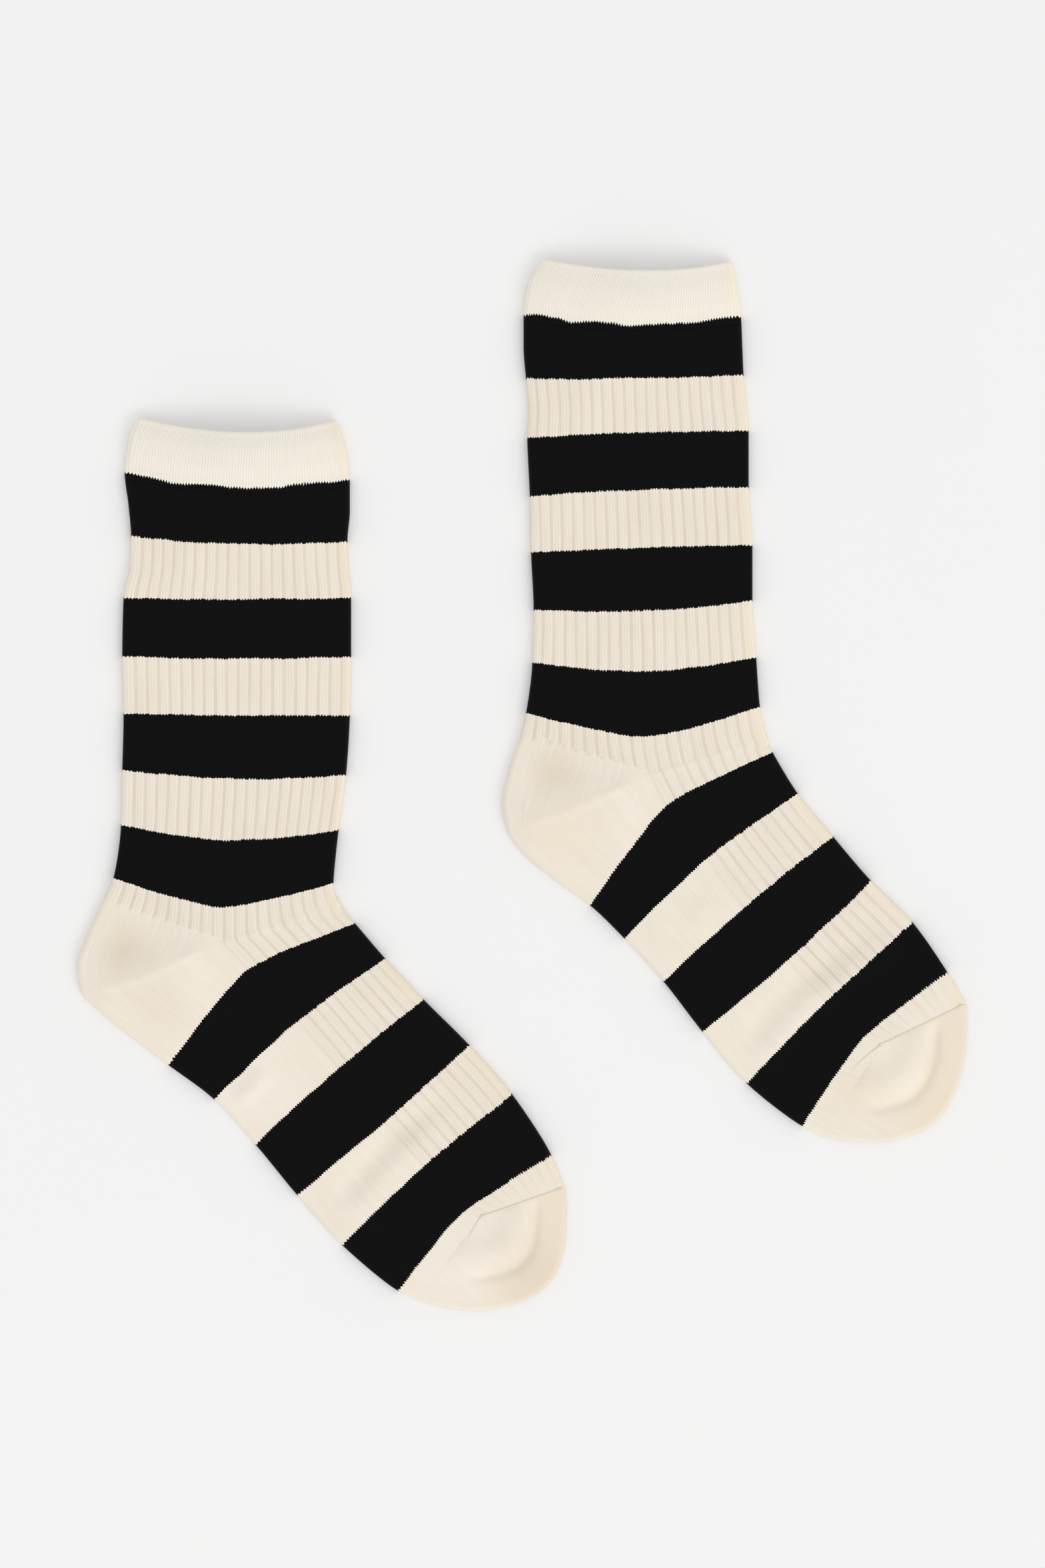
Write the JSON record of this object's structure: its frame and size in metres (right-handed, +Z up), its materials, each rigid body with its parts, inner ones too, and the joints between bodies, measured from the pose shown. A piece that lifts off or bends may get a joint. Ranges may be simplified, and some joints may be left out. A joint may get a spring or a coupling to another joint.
{
  "type": "pair of socks",
  "caption": "Pair of cream crew socks with broad black bands, laid flat side by side: ribbed knitted tubes with an open turned cuff, a heel pocket and a closed, seamed toe.",
  "frame": {"origin": "middle of the pair's outline, on the surface that both socks lie on", "axes": "+Z up, away from the surface; +Y along the legs towards the cuffs; +X towards the side that the toes point to"},
  "size_m": [0.3538, 0.4182, 0.0107],
  "materials": {
    "cuff_knit": "cream cotton welt, turned in and double, with a fine one by one rib",
    "ribbed_knit": "matt cream cotton rib, with broad black bands knitted in",
    "foot_knit": "matt cream cotton, ribbed on the instep and plain on heel and sole, with broad black bands knitted in",
    "toe_knit": "matt plain cream cotton knit"
  },
  "bodies": {
    "root": {"left_cuff": "cuff_knit", "left_leg": "ribbed_knit", "left_foot": "foot_knit", "left_toe": "toe_knit", "right_cuff": "cuff_knit", "right_leg": "ribbed_knit", "right_foot": "foot_knit", "right_toe": "toe_knit"}
  },
  "joints": []
}
